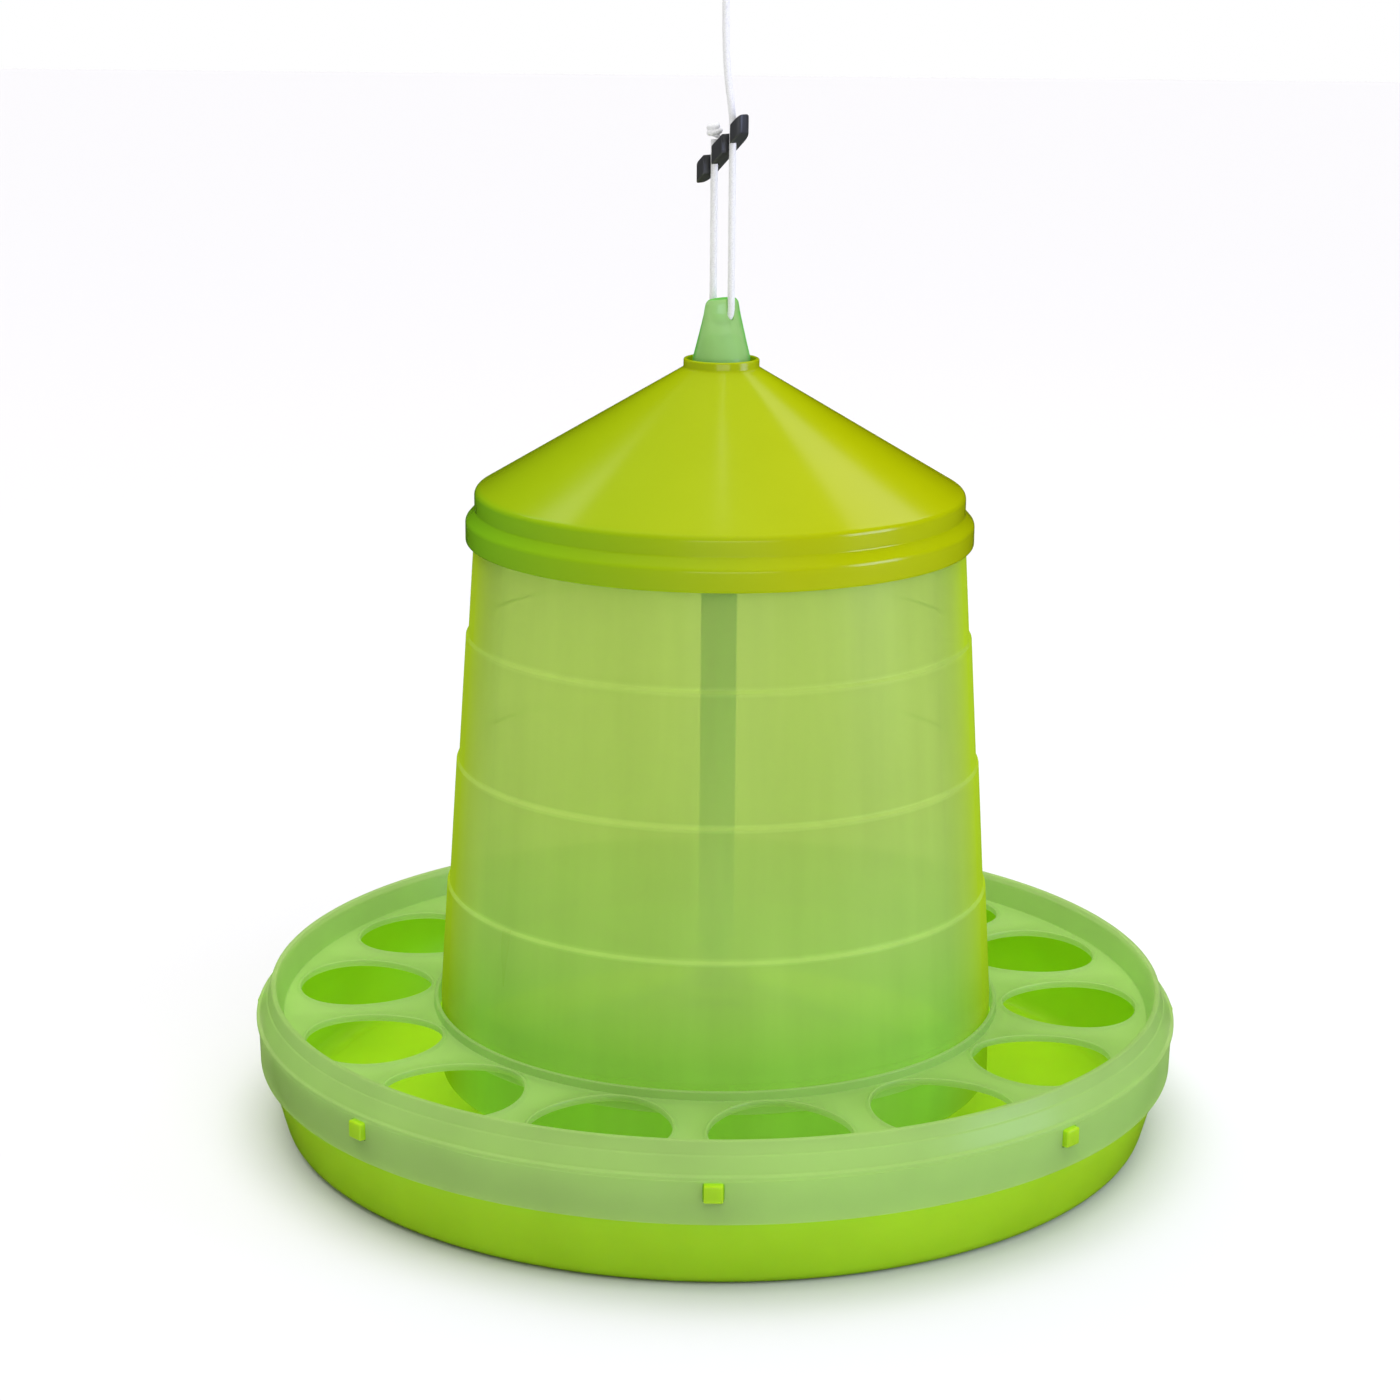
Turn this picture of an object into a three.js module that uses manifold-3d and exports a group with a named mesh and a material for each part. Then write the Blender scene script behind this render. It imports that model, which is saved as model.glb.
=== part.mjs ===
// Hanging gravity feeder for poultry: a lime dish with a snap-on anti-waste grill, a see-through
// stepped hopper, a conical lid, and a central rod whose eye hangs on an adjustable cord.
// Millimetres, +Z up, origin on the floor under the middle of the dish, -Y is the front.
import * as THREE from "three";
import { mergeVertices } from "three/addons/utils/BufferGeometryUtils.js";
import Module from "manifold-3d";

const wasm = await Module();
wasm.setup();

// ---------------------------------------------------------------- driving dimensions
const SEGMENTS = 56; // facets round each big shell, shared evenly by 14 holes and 8 lugs
const RIM_RADIUS = 190; // top edge of the grill's outer wall
const RIM_Z = 61.4;
const DISH_RIM_Z = 46.8;
const PLATE_Z = 49.2; // top face of the grill's plate
const PLATE_THICK = 2;
const SKIRT_Z = 29.8; // lower edge of the skirt that hides the dish's rim
const HOPPER_FOOT_RADIUS = 118; // outer radius of the hopper's straight foot
const HOPPER_FOOT_Z = 21;
const HOPPER_CONE_Z = 55; // where the foot ends and the cone begins
const HOPPER_TOP_Z = 260.4;
const HOPPER_SLOPE = 0.0655; // radius lost per millimetre of height
const HOPPER_WALL = 1.6;
const STEP_RISE = 1.2; // height of each ledge round the hopper
const STEP_DEPTH = 1;
const STEP_HEIGHTS = [103.4, 157, 210.6];
const LID_NECK_RADIUS = 101.7; // the lid's straight neck, between its cone and its bead
const LID_NECK_Z = 263.6;
const LID_BEAD_RADIUS = 105.5;
const LID_BEAD_Z = 255.4;
const LID_APEX_Z = 331.6; // where the cone would come to a point
const LID_SLOPE = 0.593; // rise of the cone per millimetre inwards
const LID_WALL = 1.9;
const COLLAR_RADIUS = 15.6;
const COLLAR_BORE = 14;
const COLLAR_TOP_Z = 326;
const HOLE_COUNT = 14;
const HOLE_CIRCLE = 152.2;
const HOLE_HALF_LENGTH = 28.2; // along the radius
const HOLE_HALF_WIDTH = 27.6;
const HOLE_EGG = 0.16; // how much wider an egg-shaped hole is outside its middle than inside
const HOLE_PHASE = THREE.MathUtils.degToRad(-80.6); // first hole right of the front
const LUG_COUNT = 8;
const LUG_Z = 43;
const LUG_WIDTH = 7.4;
const LUG_HEIGHT = 7;
const LUG_TIP_RADIUS = 197.8;
const ROD_WIDTH = 15;
const ROD_RIB = 2.4;
const BOSS_TOP_Z = 51;
const BOSS_PLATE = 5;
const NOTCH_COUNT = 5;
const NOTCH_PITCH = 5;
const NOTCH_Z = 53;
const NOTCH_HEIGHT = 3;
const NOTCH_HALF_WAIST = 5;
const CORD_RADIUS = 1.5;
const STRAND_OFFSET = 4.8; // each strand's distance from the feeder's axis
const STRAND_ANGLE = THREE.MathUtils.degToRad(-40); // front strand, from +X
const EYE_Z = 346; // centre of the cord's turn through the eye
const ADJUSTER_Z = 410.5;

const COLOURS = { lime: 0x8fce0a, yellowLime: 0xb9d000, clearGreen: 0x9fd468, rod: 0x74c254 };

// ---------------------------------------------------------------- geometry helpers
// A closed solid for cutting and joining, from any closed three.js geometry.
function solid(geometry) {
  const bare = geometry.clone();
  bare.deleteAttribute("normal");
  bare.deleteAttribute("uv");
  const merged = mergeVertices(bare, 1e-3);
  return new wasm.Manifold(
    new wasm.Mesh({
      numProp: 3,
      vertProperties: merged.attributes.position.array,
      triVerts: new Uint32Array(merged.index.array),
    }),
  );
}

function geometryOf(manifold) {
  const mesh = manifold.getMesh();
  const geometry = new THREE.BufferGeometry();
  geometry.setAttribute("position", new THREE.BufferAttribute(mesh.vertProperties, mesh.numProp));
  geometry.setIndex(new THREE.BufferAttribute(mesh.triVerts, 1));
  geometry.computeVertexNormals();
  return geometry;
}

// Turns a profile of [radius, z] points about the Z axis, and closes one that starts off the axis.
function turned(profile, segments = SEGMENTS) {
  const points = profile.map(([radius, z]) => new THREE.Vector2(radius, z));
  const onAxis = points[0].x === 0;
  if (THREE.ShapeUtils.area(points) < 0) points.reverse();
  if (!onAxis) points.push(points[0].clone());
  return new THREE.LatheGeometry(points, segments).rotateX(Math.PI / 2);
}

// Points on a circular arc in a profile, from one angle to another in degrees.
function arc(radius, z, size, from, to, steps) {
  return Array.from({ length: steps + 1 }, (_, i) => {
    const angle = THREE.MathUtils.degToRad(from + ((to - from) * i) / steps);
    return [radius + size * Math.cos(angle), z + size * Math.sin(angle)];
  });
}

// A box given by its middle and its sides, turned about Z through the origin after it is placed.
function block(x, y, z, wide, deep, high, turn = 0) {
  return new THREE.BoxGeometry(wide, deep, high).translate(x, y, z).rotateZ(turn);
}

function extruded(shape, depth, z, curveSegments = 6) {
  const options = { depth, bevelEnabled: false, curveSegments };
  return new THREE.ExtrudeGeometry(shape, options).translate(0, 0, z);
}

// An eight-sided bar along a curve: a circle is drawn with two sides to each of its curve segments.
function barAlong(curve, radius, steps) {
  const section = new THREE.Shape();
  section.absarc(0, 0, radius, 0, 2 * Math.PI);
  const options = { steps, extrudePath: curve, curveSegments: 4, bevelEnabled: false };
  return new THREE.ExtrudeGeometry(section, options);
}

function spokes(count, make) {
  return Array.from({ length: count }, (_, i) => make((2 * Math.PI * i) / count, i));
}

const unite = (parts) => parts.reduce((whole, part) => whole.add(part));
const cutAll = (whole, parts) => parts.reduce((left, part) => left.subtract(part), whole);

// ---------------------------------------------------------------- dish
// A shallow pan with a hollow cone in the middle that spreads the feed, and lugs that hold the grill.
function dish() {
  const shell = turned([
    [6.5, BOSS_TOP_Z],
    [16, BOSS_TOP_Z],
    [18, BOSS_TOP_Z - 1.2],
    [104, 6.2],
    [112, 2.6],
    [172, 2.2],
    ...arc(175.8, 9, 6.8, -80, -15, 3),
    [189, 27],
    [190, DISH_RIM_Z],
    [192.4, DISH_RIM_Z],
    [191.2, 26],
    ...arc(178, 7, 7, -10, -90, 3),
    [110, 0],
    [105, 2.6],
    [22, BOSS_TOP_Z - BOSS_PLATE],
    [6.5, BOSS_TOP_Z - BOSS_PLATE],
  ]);
  const lug = (turn) => {
    const inner = 190;
    const length = LUG_TIP_RADIUS - inner;
    return solid(block(inner + length / 2, 0, LUG_Z, length, LUG_WIDTH, LUG_HEIGHT, turn));
  };
  // The key slot lets the rod's cross-bar through when the rod is turned a quarter round.
  const keySlot = solid(block(0, 0, BOSS_TOP_Z, 6.4, 22, 4 * BOSS_PLATE));
  return geometryOf(unite([solid(shell), ...spokes(LUG_COUNT, lug)]).subtract(keySlot));
}

// ---------------------------------------------------------------- grill
function holeOutline() {
  const outline = new THREE.Shape();
  const points = 28;
  for (let i = 0; i < points; i++) {
    const angle = (2 * Math.PI * i) / points;
    const x = HOLE_CIRCLE + HOLE_HALF_LENGTH * Math.cos(angle);
    const y = HOLE_HALF_WIDTH * Math.sin(angle) * (1 + HOLE_EGG * Math.cos(angle));
    if (i === 0) outline.moveTo(x, y);
    else outline.lineTo(x, y);
  }
  return outline;
}

// The ring that birds feed through: a plate of round holes, a flared rim and a skirt over the dish.
function grillRing() {
  const under = PLATE_Z - PLATE_THICK;
  const ring = turned([
    [119.2, PLATE_Z + 3.6],
    [121, PLATE_Z + 3.6],
    [121.6, PLATE_Z],
    [184, PLATE_Z],
    [RIM_RADIUS - 1.8, RIM_Z - 0.7],
    [RIM_RADIUS - 1.2, RIM_Z],
    [RIM_RADIUS - 0.4, RIM_Z],
    [RIM_RADIUS, RIM_Z - 0.8],
    [194.9, 49.8],
    [196.4, 49],
    [196.5, 48],
    [195.6, 47.4],
    [195.2, SKIRT_Z],
    [193.5, SKIRT_Z],
    [193.8, 47.6],
    [193.2, 50],
    [189.2, RIM_Z - 3],
    [188.5, RIM_Z - 3],
    [185.4, under],
    [121.4, under],
    [121, 43],
    [119.2, 43],
  ]);
  const hole = (turn) => solid(extruded(holeOutline(), 8, under - 3).rotateZ(HOLE_PHASE + turn));
  const window = (turn) => solid(block(195, 0, LUG_Z, 10, LUG_WIDTH + 1.2, LUG_HEIGHT + 1.2, turn));
  return geometryOf(cutAll(solid(ring), [...spokes(HOLE_COUNT, hole), ...spokes(LUG_COUNT, window)]));
}

// ---------------------------------------------------------------- hopper and its spider
// The hopper's outer radius: a cone with a small ledge at each step height.
function hopperRadius(z) {
  const above = Math.max(0, z - HOPPER_CONE_Z);
  const steps = STEP_HEIGHTS.filter((height) => z > height).length;
  return HOPPER_FOOT_RADIUS - HOPPER_SLOPE * above - STEP_DEPTH * steps;
}

// A funnel that is wider at the bottom, with a rib inside its foot for the spider's ring to sit on.
function hopper() {
  const ledges = STEP_HEIGHTS.flatMap((z) => [z, z + STEP_RISE]);
  const heights = [HOPPER_FOOT_Z, HOPPER_CONE_Z, ...ledges, HOPPER_TOP_Z];
  const outside = heights.map((z) => [hopperRadius(z), z]);
  const inside = outside.map(([radius, z]) => [radius - HOPPER_WALL, z]).reverse();
  const foot = inside.pop();
  const rib = [
    [foot[0], 53],
    [114.2, 53],
    [foot[0], 50],
  ];
  return turned([...outside, ...inside, ...rib, foot]);
}

// A ring, four arms and a hub that keep the hopper centred on the rod and carry it on the clip.
function hopperSpider() {
  const ring = solid(
    turned([
      [113.2, 53.5],
      [115.3, 53.5],
      [115.3, 62.5],
      [113.2, 62.5],
    ]),
  );
  const hub = solid(
    turned(
      [
        [8.4, 56.2],
        [14, 56.2],
        [13, 69],
        [8.4, 69],
      ],
      24,
    ),
  );
  const arm = (turn) => solid(block(63, 0, 59.3, 102, 2.4, 6, turn + Math.PI / 4));
  return geometryOf(unite([ring, hub, ...spokes(4, arm)]));
}

// ---------------------------------------------------------------- lid
// A cone on a short neck, which stands on the hopper's top edge, above a bead that goes over the edge.
function lid() {
  const rise = (radius) => LID_APEX_Z - LID_SLOPE * radius;
  const neckInside = LID_NECK_RADIUS - LID_WALL;
  return turned([
    [COLLAR_BORE, COLLAR_TOP_Z],
    [COLLAR_RADIUS, COLLAR_TOP_Z],
    [COLLAR_RADIUS, rise(COLLAR_RADIUS)],
    [LID_NECK_RADIUS - 2.4, rise(LID_NECK_RADIUS - 2.4)],
    [LID_NECK_RADIUS - 0.6, rise(LID_NECK_RADIUS)],
    [LID_NECK_RADIUS, rise(LID_NECK_RADIUS) - 1.6],
    [LID_NECK_RADIUS, LID_NECK_Z],
    ...arc(LID_BEAD_RADIUS - 3, LID_BEAD_Z, 3, 70, 0, 3),
    ...arc(LID_BEAD_RADIUS - 2.4, LID_BEAD_Z - 2.6, 2.4, 0, -80, 3),
    [102.9, 250.4],
    [102.5, HOPPER_TOP_Z + 0.5],
    [neckInside, HOPPER_TOP_Z + 0.5],
    [neckInside, rise(neckInside) - LID_WALL],
    [COLLAR_BORE, rise(COLLAR_BORE) - LID_WALL],
  ]);
}

// ---------------------------------------------------------------- cord route
const strand = (side, z) =>
  new THREE.Vector3(
    side * STRAND_OFFSET * Math.cos(STRAND_ANGLE),
    side * STRAND_OFFSET * Math.sin(STRAND_ANGLE),
    z,
  );

// Down the back strand, round through the eye, up the front strand and in over the feeder's middle.
function cordRoute() {
  const route = [];
  [414, 401, 389, 377, 365, 354].forEach((z) => route.push(strand(-1, z)));
  const turnSteps = 8;
  for (let i = 0; i <= turnSteps; i++) {
    const angle = (Math.PI * i) / turnSteps;
    route.push(strand(-Math.cos(angle), EYE_Z - STRAND_OFFSET * Math.sin(angle)));
  }
  [354, 365, 377, 389, 401, 411, 420].forEach((z) => route.push(strand(1, z)));
  [[0.8, 428], [0.46, 437], [0.24, 447], [0.14, 459], [0.1, 474]].forEach(([share, z]) =>
    route.push(strand(share, z)),
  );
  return new THREE.CatmullRomCurve3(route, false, "centripetal");
}

// The small tied loop at the cord's top end, which goes over a nail or a hook.
function loopRoute() {
  const points = [
    [-2.1, 487.3],
    [-5.8, 494],
    [-7.9, 503],
    [-5.6, 510.6],
    [0, 513.8],
    [5.6, 510.6],
    [7.9, 503],
    [5.8, 494],
    [2.1, 487.3],
  ];
  return new THREE.CatmullRomCurve3(points.map(([x, z]) => new THREE.Vector3(x, 0, z)));
}

// A knot pulled tight: a plain round-shouldered barrel at the end of the cord.
function knot(x, y, z, radius, high) {
  const half = high / 2;
  const profile = [
    [0, -half],
    [0.6 * radius, -half],
    [radius, -0.4 * half],
    [radius, 0.4 * half],
    [0.6 * radius, half],
    [0, half],
  ];
  return turned(profile, 14).translate(x, y, z);
}

// ---------------------------------------------------------------- rod with its eye
// Two crossed ribs, notched for the clip, on a bayonet foot; the top is a hollow flattened cap with an eye.
function hangerRod() {
  const ribFoot = BOSS_TOP_Z + 0.4;
  const ribTop = 337;
  const ribHigh = ribTop - ribFoot;
  const ribMid = ribFoot + ribHigh / 2;
  const ribs = [
    solid(block(0, 0, ribMid, ROD_WIDTH, ROD_RIB, ribHigh)),
    solid(block(0, 0, ribMid, ROD_RIB, ROD_WIDTH, ribHigh)),
  ];
  const spigot = solid(
    turned(
      [
        [0, 41],
        [6, 41],
        [6, ribFoot + 0.5],
        [0, ribFoot + 0.5],
      ],
      24,
    ),
  );
  const crossBar = solid(block(0, 0, 43.2, 20, 5, 4.4));
  const cap = flattened(
    turned(
      [
        [0, 319],
        [12.4, 319],
        [12.4, 327],
        [11.6, 335],
        [10.6, 343],
        [9.7, 347.4],
        [7.6, 349.6],
        [4.5, 350.3],
        [0, 350.3],
      ],
      32,
    ),
  );
  const hollow = flattened(
    turned(
      [
        [0, 318],
        [10.5, 318],
        [10.3, 327],
        [9.2, 335],
        [0, 335],
      ],
      32,
    ),
  );
  const notch = (side, k) => {
    const deep = ROD_WIDTH / 2 - NOTCH_HALF_WAIST;
    const x = side * (NOTCH_HALF_WAIST + deep);
    return solid(block(x, 0, NOTCH_Z + NOTCH_HEIGHT / 2 + k * NOTCH_PITCH, 2 * deep, 6, NOTCH_HEIGHT));
  };
  const notches = [];
  for (let k = 0; k < NOTCH_COUNT; k++) notches.push(notch(-1, k), notch(1, k));
  const cordGroove = solid(barAlong(cordRoute(), CORD_RADIUS + 0.45, 78));
  const top = cap.subtract(hollow);
  return geometryOf(cutAll(unite([...ribs, spigot, crossBar, top]), [...notches, cordGroove]));
}

// Squeezes a turned shape across the strands' direction, more and more towards the top of the eye.
function flattened(geometry) {
  const thin = new THREE.Vector3(Math.cos(STRAND_ANGLE), Math.sin(STRAND_ANGLE), 0);
  const thickness = (z) => THREE.MathUtils.clamp(1 - 0.58 * ((z - 323) / 22), 0.42, 1);
  const place = geometry.attributes.position;
  const point = new THREE.Vector3();
  for (let i = 0; i < place.count; i++) {
    point.fromBufferAttribute(place, i);
    point.addScaledVector(thin, (thickness(point.z) - 1) * point.dot(thin));
    place.setXYZ(i, point.x, point.y, point.z);
  }
  return solid(geometry);
}

// ---------------------------------------------------------------- clip and cord adjuster
// A flat fork that slides into a pair of the rod's notches and carries the spider's hub.
function flowClip() {
  const fork = new THREE.Shape();
  const slot = NOTCH_HALF_WAIST + 0.3;
  fork.moveTo(slot, 10);
  fork.lineTo(slot, -8.4);
  fork.lineTo(-slot, -8.4);
  fork.lineTo(-slot, 10);
  fork.lineTo(-12, 10);
  fork.absarc(-10, -15, 4, Math.PI, 1.5 * Math.PI);
  fork.absarc(10, -15, 4, 1.5 * Math.PI, 2 * Math.PI);
  fork.lineTo(12, 10);
  return geometryOf(solid(extruded(fork, NOTCH_HEIGHT - 0.6, NOTCH_Z + 0.3, 3)));
}

// A short sloping bar with two side slots that grip the two strands of the cord.
function cordAdjuster() {
  const half = 11.6;
  const halfWide = 4.5;
  const slotHalf = CORD_RADIUS + 0.45;
  const bar = new THREE.Shape();
  bar.moveTo(-half + halfWide, halfWide);
  bar.absarc(-half + halfWide, 0, halfWide, Math.PI / 2, 1.5 * Math.PI);
  for (const along of [-STRAND_OFFSET, STRAND_OFFSET]) {
    bar.lineTo(along - slotHalf, -halfWide);
    bar.absarc(along, 0, slotHalf, Math.PI, 0, true);
    bar.lineTo(along + slotHalf, -halfWide);
  }
  bar.absarc(half - halfWide, 0, halfWide, -Math.PI / 2, Math.PI / 2);
  const thick = 7.6;
  const sloping = new THREE.Matrix4().makeShear(0, 0.92, 0, 0, 0, 0);
  const geometry = extruded(bar, thick, -thick / 2, 6).applyMatrix4(sloping);
  return geometry.rotateZ(STRAND_ANGLE).translate(0, 0, ADJUSTER_Z);
}

// ---------------------------------------------------------------- assembly
function plastic(color, roughness = 0.3) {
  return new THREE.MeshStandardMaterial({ color, roughness, metalness: 0 });
}

function seeThrough(color) {
  const material = plastic(color, 0.25);
  material.transparent = true;
  material.opacity = 0.6;
  return material;
}

const cordMaterial = plastic(0xf4f4f2, 0.8);
const feeder = new THREE.Group();

function add(name, geometry, material) {
  const mesh = new THREE.Mesh(geometry, material);
  mesh.name = name;
  feeder.add(mesh);
}

add("dish", dish(), plastic(COLOURS.lime));
add("grill_ring", grillRing(), seeThrough(COLOURS.clearGreen));
add("hopper", hopper(), seeThrough(COLOURS.clearGreen));
add("hopper_spider", hopperSpider(), seeThrough(COLOURS.clearGreen));
add("hanger_rod", hangerRod(), seeThrough(COLOURS.rod));
add("flow_clip", flowClip(), plastic(COLOURS.lime));
add("lid", lid(), plastic(COLOURS.yellowLime));
add("cord", barAlong(cordRoute(), CORD_RADIUS, 78), cordMaterial);
const backStrand = strand(-1, 0);
add("stopper_knot", knot(backStrand.x, backStrand.y, 417.6, 3.4, 6.6), cordMaterial);
add("top_knot", knot(strand(0.1, 0).x, strand(0.1, 0).y, 480.3, 4.6, 12), cordMaterial);
add("cord_loop", barAlong(loopRoute(), CORD_RADIUS, 30), cordMaterial);
add("cord_adjuster", cordAdjuster(), plastic(0x17181a, 0.4));

export default feeder;
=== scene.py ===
"""Hanging gravity feeder for poultry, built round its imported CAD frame. Lengths are in millimetres."""
import math

import bmesh
import bpy
from mathutils import Matrix, Vector


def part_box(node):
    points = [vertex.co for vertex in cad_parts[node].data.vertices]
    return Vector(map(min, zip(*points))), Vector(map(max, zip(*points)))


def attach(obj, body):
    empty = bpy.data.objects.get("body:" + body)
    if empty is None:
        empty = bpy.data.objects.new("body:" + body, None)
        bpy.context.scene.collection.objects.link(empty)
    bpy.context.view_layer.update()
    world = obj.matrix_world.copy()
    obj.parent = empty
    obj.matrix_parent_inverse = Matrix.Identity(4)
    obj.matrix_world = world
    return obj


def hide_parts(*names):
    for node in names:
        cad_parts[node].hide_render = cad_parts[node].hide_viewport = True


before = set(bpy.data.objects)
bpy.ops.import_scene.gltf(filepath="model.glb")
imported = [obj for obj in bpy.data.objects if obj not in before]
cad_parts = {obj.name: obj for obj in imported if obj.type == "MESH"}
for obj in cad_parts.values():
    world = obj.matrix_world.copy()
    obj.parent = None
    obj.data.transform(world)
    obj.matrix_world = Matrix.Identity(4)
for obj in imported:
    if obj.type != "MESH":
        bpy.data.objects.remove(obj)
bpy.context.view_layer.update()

MM = 0.001 # a millimetre in the scene's metres

# ---------------------------------------------------------------- driving dimensions
TURNED_SEGMENTS = 256
HOLE_COUNT = 14
HOLE_PHASE = math.radians(-80.6)
LUG_COUNT, LUG_Z = 8, 43
LUG_MIDDLE, LUG_SIZE = 193.8, (8, 7.4, 7)
WINDOW_MIDDLE, WINDOW_SIZE = 195.6, (12, 8.2, 7.8)
DISH_RIM_Z = 46.8
DISH_SINK = 2.6 # upper face of the pan's floor
SKIRT_Z = 29.8
RIM_RADIUS, RIM_Z = 190, 61.4
PLATE_Z, PLATE_THICK = 49.2, 2
PLATE_INNER, PLATE_OUTER = 121.5, 184
HOPPER_FOOT_RADIUS = 118
HOPPER_FOOT_Z = 21
HOPPER_CONE_Z = 55
HOPPER_TOP_Z = 260.4
HOPPER_SLOPE = 0.0655
HOPPER_WALL = 1.6
STEP_DEPTH, STEP_RISE = 1, 1.2
STEP_HEIGHTS = (103.4, 157, 210.6)
LID_NECK_RADIUS, LID_NECK_Z = 101.7, 263.6
LID_BEAD_RADIUS, LID_FOOT_Z = 105.5, 250.2
LID_APEX_Z, LID_SLOPE = 331.6, 0.593
LID_SHADE_BAND_Z = 270 # below it the lid is painted greener: painted shade and painted show-through of the green hopper
LID_WALL = 1.9
COLLAR_RADIUS, COLLAR_BORE, COLLAR_TOP_Z = 15.6, 14, 326
ROD_WIDTH, ROD_RIB = 15, 2.4
ROD_FOOT_Z, ROD_TOP_Z = 41, 337 # the ribs end inside the cap
EYE_TOP_Z = 350.3
EYE_SQUEEZE_Z, EYE_SQUEEZE_HEIGHT, EYE_THINNEST = 323, 22, 0.42 # where the cap flattens, and how much
BOSS_TOP_Z, BOSS_PLATE = 51, 5
ARM_COUNT = 4
NOTCH_COUNT, NOTCH_PITCH, NOTCH_Z, NOTCH_HEIGHT, NOTCH_HALF_WAIST = 5, 5, 53, 3, 5
CORD_RADIUS = 1.5
CORD_CLEARANCE = 0.45
STRAND_OFFSET = 4.8
STRAND_ANGLE = math.radians(-40)
EYE_Z = 346
ADJUSTER_Z = 410.5
ADJUSTER_SLOPE = 0.92 # rise per millimetre sideways
ADJUSTER_HALF_LENGTH, ADJUSTER_HALF_WIDTH, ADJUSTER_HALF_THICK = 11.6, 4.5, 3.8

# ---------------------------------------------------------------- colours
# Display values, 0 to 255, some of them with the opacity that goes with the colour.
LIME = (164, 208, 30)
LID_COLOUR = (178, 188, 0)
LID_PAINTED_SHADE_GREEN = (120, 184, 26)
MILKY = (198, 224, 146)
MILKY_TINT = (228, 241, 200)
CLEAR = (208, 230, 145)
CLEAR_TINT = (240, 248, 206)
EDGE = (176, 206, 30)
PALE_TINT = (205, 240, 190)
ROD_EDGE = (104, 190, 80)
# Painted light: the hopper is painted lighter, greener and more opaque low down and paler and clearer higher
# up, in place of the light that reaches its inside.
HOPPER_LOW = ((184, 230, 108), 0.66)
HOPPER_BANDS = (((204, 232, 128), 0.54), ((212, 230, 132), 0.42), ((212, 231, 132), 0.37)) # lowest band first
# Painted tint: the rod is painted greener and more opaque below the lid, the look of the light that reaches
# it through the green hopper walls.
ROD_LOW = ((104, 214, 92), 0.88)
EYE_TOP = ((188, 224, 150), 0.72)
BLACK = (62, 63, 66)
# The cord's darker tone is painted shade in the fibres' hollows.
CORD_HOLLOW_SHADE, CORD_CREST = (236, 236, 238), (255, 255, 255)
# Shares of light, as the renderer counts them.
HOPPER_LAMP_TINT = (0.92, 0.93, 0.9, 1)
MILKY_LAMP_TINT = (0.86, 0.88, 0.8, 1)
ROD_LAMP_TINT = (0.8, 0.85, 0.75, 1)
PAPER = (0.798, 0.788, 0.808, 1)


# ---------------------------------------------------------------- outline helpers
def rounded(corners, closed=True):
    """Points of an outline given as (x, y, radius) corners, each corner turned into an arc."""
    points = []
    last = len(corners) - 1
    for i, (x, y, radius) in enumerate(corners):
        here = Vector((x, y))
        if radius == 0 or (not closed and i in (0, last)):
            points.append(here)
            continue
        before = Vector(corners[i - 1][:2]) - here
        after = Vector(corners[(i + 1) % len(corners)][:2]) - here
        half = before.angle(after) / 2
        reach = min(radius / math.tan(half), 0.49 * before.length, 0.49 * after.length)
        size = reach * math.tan(half)
        before.normalize()
        after.normalize()
        centre = here + (before + after).normalized() * (size / math.sin(half))
        start = here + before * reach - centre
        sweep = start.angle_signed(here + after * reach - centre)
        steps = max(2, math.ceil(abs(math.degrees(sweep)) / 14))
        for k in range(steps + 1):
            points.append(centre + Matrix.Rotation(-sweep * k / steps, 2) @ start)
    return points


def ring_of(count, radius, z, shrink=None):
    """A circle of points at height z, squeezed by shrink, a function of a point."""
    loop = []
    for i in range(count):
        angle = 2 * math.pi * i / count
        point = Vector((radius * math.cos(angle), radius * math.sin(angle), z))
        loop.append(shrink(point) if shrink else point)
    return loop


# ---------------------------------------------------------------- mesh helpers
def piece_from(name, verts, faces, sharp=38):
    mesh = bpy.data.meshes.new(name)
    mesh.from_pydata([Vector(v) * MM for v in verts], [], faces)
    piece = bpy.data.objects.new(name, mesh)
    bpy.context.scene.collection.objects.link(piece)
    clean(piece, sharp)
    return piece


def clean(piece, sharp=38):
    """Joins doubled points, turns the faces outwards and shades smooth except across sharp edges."""
    mesh = piece.data
    shape = bmesh.new()
    shape.from_mesh(mesh)
    bmesh.ops.remove_doubles(shape, verts=shape.verts, dist=0.002 * MM)
    bmesh.ops.recalc_face_normals(shape, faces=shape.faces)
    shape.to_mesh(mesh)
    shape.free()
    mesh.shade_smooth()
    mesh.set_sharp_from_angle(angle=math.radians(sharp))


def turned(name, corners, segments=TURNED_SEGMENTS):
    """A closed ring, made by turning a rounded outline of (radius, z, rounding) corners about Z."""
    outline = rounded(corners)
    n = len(outline)
    verts = []
    for j in range(segments):
        angle = 2 * math.pi * j / segments
        verts += [(p.x * math.cos(angle), p.x * math.sin(angle), p.y) for p in outline]
    faces = []
    for j in range(segments):
        k = (j + 1) % segments
        for i in range(n):
            m = (i + 1) % n
            faces.append((j * n + i, k * n + i, k * n + m, j * n + m))
    return piece_from(name, verts, faces)


def lofted(name, loops, sharp=38):
    """A closed solid through loops of points, with flat ends."""
    n = len(loops[0])
    verts = [p for loop in loops for p in loop]
    faces = [tuple(reversed(range(n))), tuple((len(loops) - 1) * n + i for i in range(n))]
    for k in range(len(loops) - 1):
        for i in range(n):
            m = (i + 1) % n
            faces.append((k * n + i, k * n + m, (k + 1) * n + m, (k + 1) * n + i))
    return piece_from(name, verts, faces, sharp)


def extruded(name, outline, z0, z1):
    return lofted(name, [[(p.x, p.y, z) for p in outline] for z in (z0, z1)])


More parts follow.
